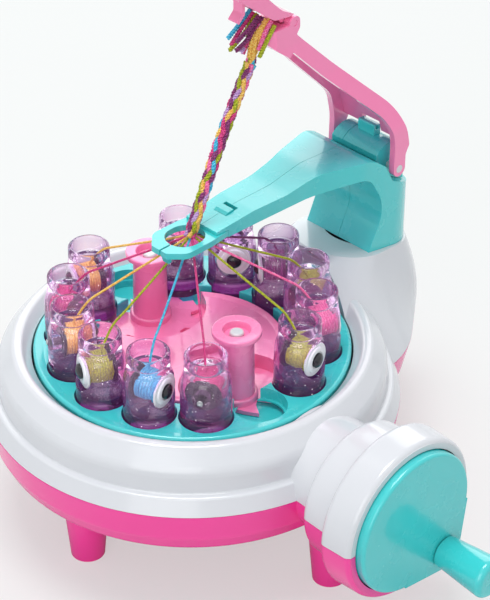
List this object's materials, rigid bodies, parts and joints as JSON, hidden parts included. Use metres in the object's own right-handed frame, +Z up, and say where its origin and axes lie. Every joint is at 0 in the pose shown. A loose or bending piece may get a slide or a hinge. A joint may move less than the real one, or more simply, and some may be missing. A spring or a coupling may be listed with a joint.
{
  "type": "kumihimo braiding machine",
  "caption": "Hand-cranked toy machine whose turning deck carries clear bobbin pods round two toothed towers and braids their threads up to a lever and clip.",
  "frame": {"origin": "on the table, under the centre of the whole footprint", "axes": "+X towards the crank, +Y towards the arm's neck, +Z up along the deck's axis"},
  "size_m": [0.2824, 0.2536, 0.2784],
  "materials": {
    "white": "gloss",
    "inner_white": "satin",
    "magenta": "gloss",
    "light_pink": "gloss",
    "hot_pink": "gloss",
    "turquoise": "gloss",
    "clear_lilac": "clear",
    "reel_white": "gloss",
    "thread": "twisted",
    "braid": "braided",
    "steel": "plated"
  },
  "bodies": {
    "base": {"bottom_tray": "magenta", "top_housing": "white", "centre_post": "inner_white", "crank_bearing": "inner_white", "arm_left_half": "turquoise", "arm_right_half": "turquoise", "guide_fork": "turquoise", "hinge_cover": "turquoise", "lever_pins": "white", "base_screws": "steel"},
    "carousel": {"deck": "turquoise", "rotor_plate": "light_pink", "deck_gear": "inner_white", "pod_01": "clear_lilac", "pod_02": "clear_lilac", "pod_03": "clear_lilac", "pod_04": "clear_lilac", "pod_05": "clear_lilac", "pod_06": "clear_lilac", "pod_07": "clear_lilac", "pod_08": "clear_lilac", "pod_09": "clear_lilac", "pod_10": "clear_lilac", "pod_11": "clear_lilac", "pod_12": "clear_lilac", "thread_01": "thread", "thread_02": "thread", "thread_03": "thread", "thread_04": "thread", "thread_05": "thread", "thread_06": "thread", "thread_07": "thread", "thread_08": "thread", "thread_09": "thread", "thread_10": "thread", "thread_11": "thread", "thread_12": "thread"},
    "tower_right": {"tower_right": "light_pink", "spindle_right": "white"},
    "tower_left": {"tower_left": "light_pink", "spindle_left": "white"},
    "crank": {"crank_disc": "turquoise", "crank_shaft": "inner_white"},
    "knob": {"crank_knob": "turquoise"},
    "lever": {"lever": "hot_pink", "braid": "braid", "tassel": "braid"},
    "clip": {"braid_clip": "hot_pink"},
    "spool_01": {"spool_01": "reel_white"},
    "spool_02": {"spool_02": "reel_white"},
    "spool_03": {"spool_03": "reel_white"},
    "spool_04": {"spool_04": "reel_white"},
    "spool_05": {"spool_05": "reel_white"},
    "spool_06": {"spool_06": "reel_white"},
    "spool_07": {"spool_07": "reel_white"},
    "spool_08": {"spool_08": "reel_white"},
    "spool_09": {"spool_09": "reel_white"},
    "spool_10": {"spool_10": "reel_white"},
    "spool_11": {"spool_11": "reel_white"},
    "spool_12": {"spool_12": "reel_white"}
  },
  "joints": [
    {"name": "carousel_turn", "type": "hinge", "parent": "base", "child": "carousel", "pos_m": [-0.03825, -0.0238, 0.091], "axis": [0, 0, 1], "continuous": true},
    {"name": "tower_right_turn", "type": "hinge", "parent": "carousel", "child": "tower_right", "pos_m": [0.00092, -0.03191, 0.091], "axis": [0, 0, 1], "continuous": true},
    {"name": "tower_left_turn", "type": "hinge", "parent": "carousel", "child": "tower_left", "pos_m": [-0.07742, -0.01569, 0.091], "axis": [0, 0, 1], "continuous": true},
    {"name": "crank_turn", "type": "hinge", "parent": "base", "child": "crank", "pos_m": [0.10675, -0.0238, 0.0646], "axis": [1, 0, 0], "continuous": true},
    {"name": "knob_spin", "type": "hinge", "parent": "crank", "child": "knob", "pos_m": [0.12175, -0.0028, 0.0366], "axis": [1, 0, 0], "continuous": true},
    {"name": "lever_turn", "type": "hinge", "parent": "base", "child": "lever", "pos_m": [-0.03825, 0.0982, 0.1486], "axis": [1, 0, 0], "range_deg": [-45, 25], "deforming": ["braid"]},
    {"name": "clip_turn", "type": "hinge", "parent": "lever", "child": "clip", "pos_m": [-0.03825, 0.0351, 0.2482], "axis": [-1, 0, 0], "range_deg": [0, 60]},
    {"name": "spool_01_spin", "type": "hinge", "parent": "carousel", "child": "spool_01", "pos_m": [0.02035, -0.00917, 0.1074], "axis": [0.9848, 0.1736, 0], "continuous": true},
    {"name": "spool_02_spin", "type": "hinge", "parent": "carousel", "child": "spool_02", "pos_m": [0.0082, 0.01481, 0.1074], "axis": [0.342, 0.9397, 0], "continuous": true},
    {"name": "spool_03_spin", "type": "hinge", "parent": "carousel", "child": "spool_03", "pos_m": [-0.01315, 0.03114, 0.1074], "axis": [-0.5, 0.866, 0], "continuous": true},
    {"name": "spool_04_spin", "type": "hinge", "parent": "carousel", "child": "spool_04", "pos_m": [-0.03947, 0.03659, 0.1074], "axis": [-0.6428, -0.766, 0], "continuous": true},
    {"name": "spool_05_spin", "type": "hinge", "parent": "carousel", "child": "spool_05", "pos_m": [-0.06555, 0.03008, 0.1074], "axis": [0.766, -0.6428, 0], "continuous": true},
    {"name": "spool_06_spin", "type": "hinge", "parent": "carousel", "child": "spool_06", "pos_m": [-0.08622, 0.0129, 0.1074], "axis": [-0.1736, 0.9848, 0], "continuous": true},
    {"name": "spool_07_spin", "type": "hinge", "parent": "carousel", "child": "spool_07", "pos_m": [-0.09685, -0.03843, 0.1074], "axis": [-0.342, -0.9397, 0], "continuous": true},
    {"name": "spool_08_spin", "type": "hinge", "parent": "carousel", "child": "spool_08", "pos_m": [-0.0847, -0.06241, 0.1074], "axis": [-0.9848, -0.1736, 0], "continuous": true},
    {"name": "spool_09_spin", "type": "hinge", "parent": "carousel", "child": "spool_09", "pos_m": [-0.06335, -0.07874, 0.1074], "axis": [0.5, 0.866, 0], "continuous": true},
    {"name": "spool_10_spin", "type": "hinge", "parent": "carousel", "child": "spool_10", "pos_m": [-0.03703, -0.08419, 0.1074], "axis": [-0.3907, -0.9205, 0], "continuous": true},
    {"name": "spool_11_spin", "type": "hinge", "parent": "carousel", "child": "spool_11", "pos_m": [-0.01095, -0.07768, 0.1074], "axis": [0.9744, 0.225, 0], "continuous": true},
    {"name": "spool_12_spin", "type": "hinge", "parent": "carousel", "child": "spool_12", "pos_m": [0.00972, -0.0605, 0.1074], "axis": [-0.5446, 0.8387, 0], "continuous": true}
  ],
  "couplings": [
    {"joint": "tower_right_turn", "follows": "carousel_turn", "ratio": 3},
    {"joint": "tower_left_turn", "follows": "carousel_turn", "ratio": 3},
    {"joint": "crank_turn", "follows": "carousel_turn", "ratio": -6}
  ]
}
